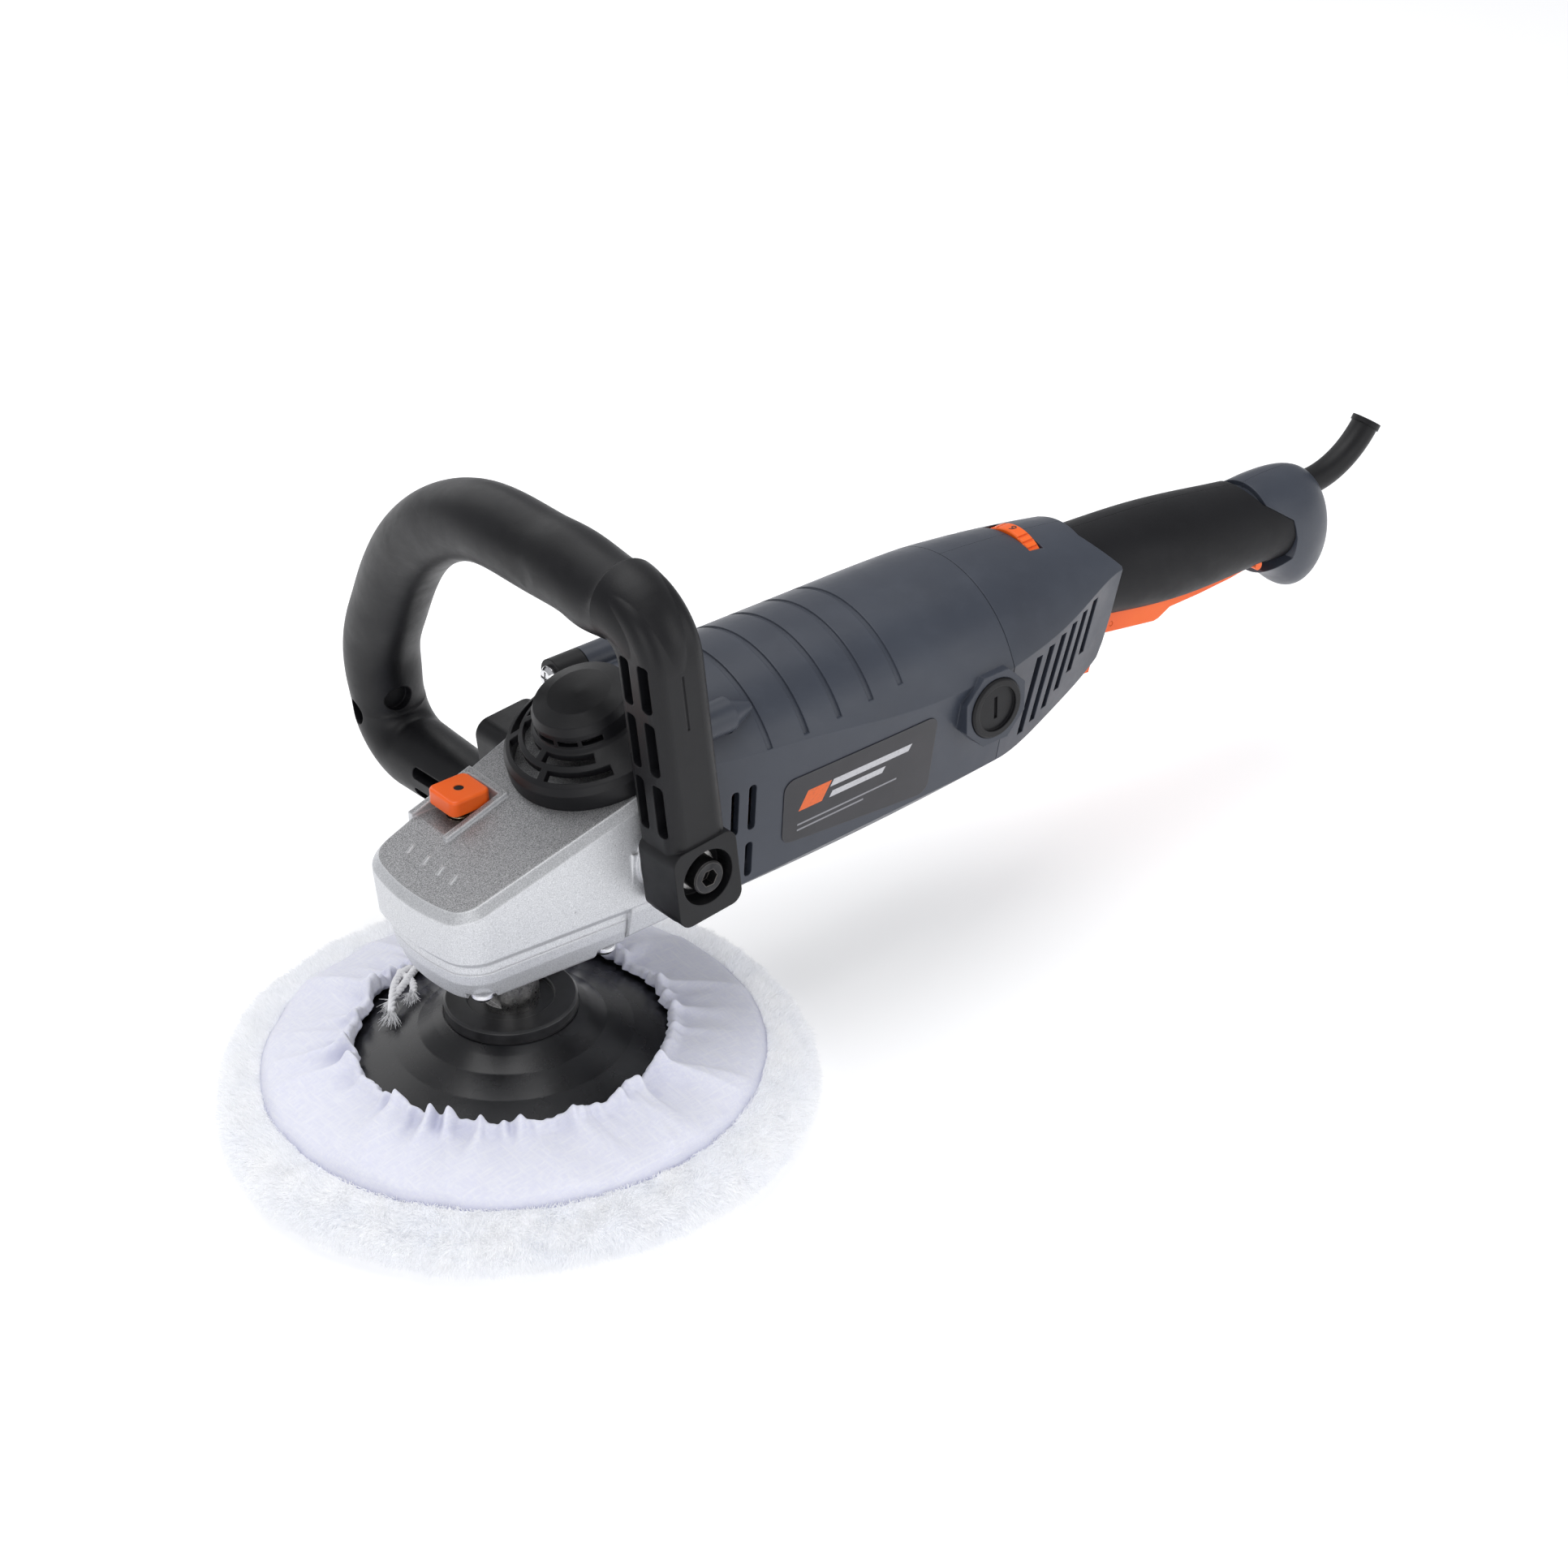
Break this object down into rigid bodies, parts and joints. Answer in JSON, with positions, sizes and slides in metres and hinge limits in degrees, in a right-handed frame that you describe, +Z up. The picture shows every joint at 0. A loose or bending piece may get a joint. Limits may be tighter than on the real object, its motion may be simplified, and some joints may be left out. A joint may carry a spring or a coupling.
{
  "type": "rotary polisher",
  "caption": "Corded rotary polisher with a tilting D-shaped loop handle, a round rubber pad in a wool bonnet, a paddle trigger, speed dial and spindle lock",
  "frame": {"origin": "on the spindle axis, at the level where the wool rests", "axes": "+X from the gear head towards the cord, +Z up along the spindle, Y across the tool"},
  "size_m": [0.5748, 0.2732, 0.2253],
  "materials": {
    "wool": "dense off-white pile",
    "skirt_cloth": "plain weave cotton",
    "drawstring": "twisted cotton",
    "pad_rubber": "satin black",
    "black_oxide": "black oxide steel",
    "steel": "machined steel",
    "lamination": "laminated electrical steel",
    "copper": "enamelled copper",
    "fan_plastic": "moulded",
    "cast_aluminium": "as-cast, fine speckle",
    "screw_chrome": "bright plated",
    "black_plastic": "matte black glass-filled",
    "slate_plastic": "dark slate satin",
    "brass": "pressed",
    "carbon": "pressed carbon",
    "spring_steel": "wire",
    "label": "satin black film",
    "soft_grip": "matte black overmould",
    "cord_rubber": "matte black",
    "orange_plastic": "satin orange"
  },
  "bodies": {
    "root": {"gear_case": "cast_aluminium", "case_cover": "cast_aluminium", "cover_screws": "screw_chrome", "bearing_plate": "cast_aluminium", "bearings": "steel", "vent_ring": "black_plastic", "housing_screws": "screw_chrome", "motor_housing": "slate_plastic", "field_core": "lamination", "field_coils": "copper", "brush_holders": "brass", "carbon_brushes": "carbon", "brush_springs": "spring_steel", "brush_caps": "black_plastic", "side_labels": "label", "rear_shell_left": "slate_plastic", "rear_shell_right": "slate_plastic", "shell_screws": "screw_chrome", "grip_left": "soft_grip", "grip_right": "soft_grip", "trigger_switch": "black_plastic", "speed_control": "black_plastic", "cord_sleeve": "cord_rubber", "power_cord": "cord_rubber", "cord_clamp": "black_plastic", "clamp_screws": "screw_chrome", "handle_bolts": "black_oxide", "handle_washers": "steel", "lock_spring": "spring_steel"},
    "spindle": {"spindle": "steel", "wool_bonnet": "wool", "bonnet_skirt": "skirt_cloth", "bonnet_drawstring": "drawstring", "backing_pad": "pad_rubber", "pad_flange": "black_oxide", "pad_nut": "steel", "bevel_gear": "steel", "spindle_clip": "steel"},
    "layshaft": {"layshaft": "steel", "reduction_gear": "steel", "bevel_pinion": "steel"},
    "armature": {"armature_shaft": "steel", "motor_pinion": "steel", "armature_core": "lamination", "armature_windings": "copper", "commutator": "copper", "cooling_fan": "fan_plastic"},
    "loop_handle": {"loop_handle": "black_plastic"},
    "lock_button": {"lock_button": "orange_plastic", "lock_pin": "steel"},
    "speed_dial": {"speed_dial": "orange_plastic"},
    "trigger": {"trigger": "orange_plastic"},
    "trigger_lock": {"trigger_lock": "orange_plastic"}
  },
  "joints": [
    {"name": "spindle_spin", "type": "hinge", "parent": "root", "child": "spindle", "pos_m": [0, 0, 0.0915], "axis": [0, 0, 1], "continuous": true},
    {"name": "layshaft_spin", "type": "hinge", "parent": "root", "child": "layshaft", "pos_m": [0, 0, 0.0915], "axis": [1, 0, 0], "continuous": true},
    {"name": "armature_spin", "type": "hinge", "parent": "root", "child": "armature", "pos_m": [0, 0, 0.112], "axis": [1, 0, 0], "continuous": true},
    {"name": "handle_tilt", "type": "hinge", "parent": "root", "child": "loop_handle", "pos_m": [0.0473, 0, 0.107], "axis": [0, 1, 0], "range_deg": [-20, 20]},
    {"name": "lock_press", "type": "slide", "parent": "root", "child": "lock_button", "axis": [0, 0, -1], "range_m": [0, 0.004], "stiffness_N_per_m": 800, "springref_m": -0.001, "deforming": ["lock_spring"]},
    {"name": "speed_turn", "type": "hinge", "parent": "root", "child": "speed_dial", "pos_m": [0.25, 0, 0.1365], "axis": [1, 0, 0], "range_deg": [-135, 135]},
    {"name": "trigger_squeeze", "type": "hinge", "parent": "root", "child": "trigger", "pos_m": [0.381, 0, 0.0975], "axis": [0, 1, 0], "range_deg": [0, 4.5], "stiffness_Nm_per_rad": 1, "springref_deg": -2.86},
    {"name": "trigger_lock_swing", "type": "hinge", "parent": "trigger", "child": "trigger_lock", "pos_m": [0.2985, 0, 0.0976], "axis": [0, 1, 0], "range_deg": [0, 12], "stiffness_Nm_per_rad": 0.02, "springref_deg": -5.73}
  ],
  "couplings": [
    {"joint": "layshaft_spin", "follows": "spindle_spin", "ratio": -3.0909},
    {"joint": "armature_spin", "follows": "spindle_spin", "ratio": 7.4697}
  ]
}
